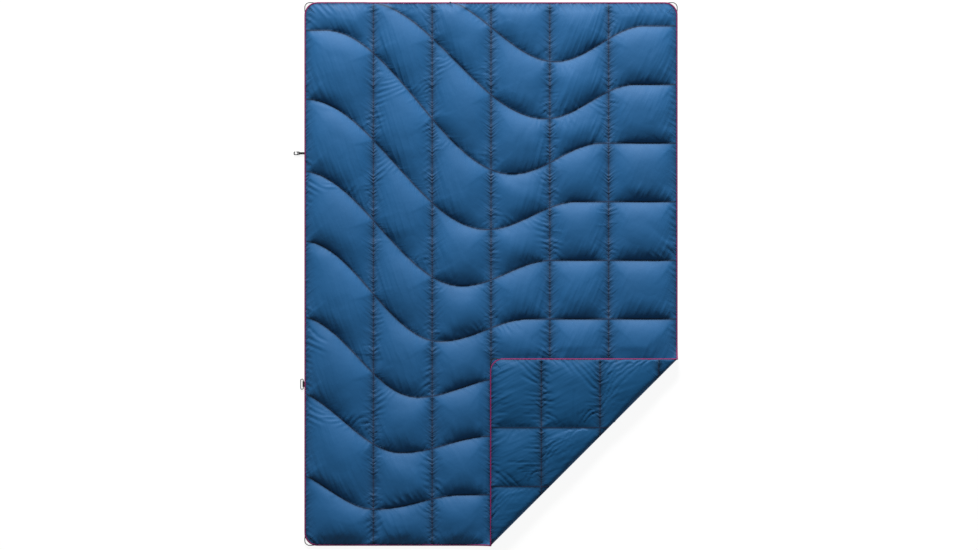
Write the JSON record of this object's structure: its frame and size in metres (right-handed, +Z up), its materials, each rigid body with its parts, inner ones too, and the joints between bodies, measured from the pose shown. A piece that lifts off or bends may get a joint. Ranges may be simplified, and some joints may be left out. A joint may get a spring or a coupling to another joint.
{
  "type": "quilted camp blanket",
  "caption": "Puffy quilted camp blanket with wave seams, contrast bound edge, cord corner loops, a side clip and keeper ring, and one corner that folds over.",
  "frame": {"origin": "on the floor under the middle of the blanket's laid-out rectangle, on the flat underside of back_shell", "axes": "+Y towards the head edge, +X towards the right edge seen from above, +Z up out of the face; the clip and keeper are on the -X edge and the turned corner is at +X, -Y"},
  "size_m": [1.3456, 1.905, 0.0603],
  "materials": {
    "face_nylon": "satin calendered plain-weave nylon",
    "back_nylon": "satin calendered plain-weave nylon, slightly duller",
    "fill_fibre": "lofted polyester fibre",
    "quilt_thread": "spun polyester sewing thread",
    "binding_tape": "folded woven tape, matte",
    "loop_cord": "braided cord",
    "webbing": "woven nylon webbing",
    "moulded_nylon": "moulded nylon, fine satin texture"
  },
  "bodies": {
    "blanket": {"back_shell": "back_nylon", "column_stitch_01": "quilt_thread", "column_stitch_02": "quilt_thread", "column_stitch_03": "quilt_thread", "column_stitch_04": "quilt_thread", "column_stitch_05": "quilt_thread", "corner_loop_foot_left": "loop_cord", "corner_loop_head_left": "loop_cord", "corner_loop_head_right": "loop_cord", "edge_binding": "binding_tape", "face_shell": "face_nylon", "fill_band_01": "fill_fibre", "fill_band_02": "fill_fibre", "fill_band_03": "fill_fibre", "fill_band_04": "fill_fibre", "fill_band_05": "fill_fibre", "fill_band_06": "fill_fibre", "fill_band_07": "fill_fibre", "fill_band_08": "fill_fibre", "fill_band_09": "fill_fibre", "fill_band_10": "fill_fibre", "keeper_webbing": "webbing", "wave_stitch_01": "quilt_thread", "wave_stitch_02": "quilt_thread", "wave_stitch_03": "quilt_thread", "wave_stitch_04": "quilt_thread", "wave_stitch_05": "quilt_thread", "wave_stitch_06": "quilt_thread", "wave_stitch_07": "quilt_thread", "wave_stitch_08": "quilt_thread", "wave_stitch_09": "quilt_thread"},
    "corner_flap": {"flap_back_shell": "back_nylon", "flap_column_stitch_04": "quilt_thread", "flap_column_stitch_05": "quilt_thread", "flap_corner_loop": "loop_cord", "flap_edge_binding": "binding_tape", "flap_face_shell": "face_nylon", "flap_fill_band_07": "fill_fibre", "flap_fill_band_08": "fill_fibre", "flap_fill_band_09": "fill_fibre", "flap_fill_band_10": "fill_fibre", "flap_wave_stitch_07": "quilt_thread", "flap_wave_stitch_08": "quilt_thread", "flap_wave_stitch_09": "quilt_thread"},
    "clip_tab": {"clip_webbing": "webbing"},
    "clip_hook": {"clip_hook": "moulded_nylon"},
    "keeper_ring": {"keeper_ring": "moulded_nylon"}
  },
  "joints": [
    {"name": "corner_fold", "type": "hinge", "parent": "blanket", "child": "corner_flap", "pos_m": [0.32525, -0.62375, 0.03015], "axis": [0.7071, 0.7071, 0], "range_deg": [0, 180]},
    {"name": "clip_tab_swing", "type": "hinge", "parent": "blanket", "child": "clip_tab", "pos_m": [-0.6554, 0.423, 0.0032], "axis": [0, 1, 0], "range_deg": [0, 80]},
    {"name": "clip_hook_swing", "type": "hinge", "parent": "clip_tab", "child": "clip_hook", "pos_m": [-0.671, 0.423, 0.0032], "axis": [0, 1, 0], "range_deg": [0, 100]},
    {"name": "keeper_swing", "type": "hinge", "parent": "blanket", "child": "keeper_ring", "pos_m": [-0.6578, -0.386, 0.0032], "axis": [0, 1, 0], "range_deg": [0, 120]}
  ]
}
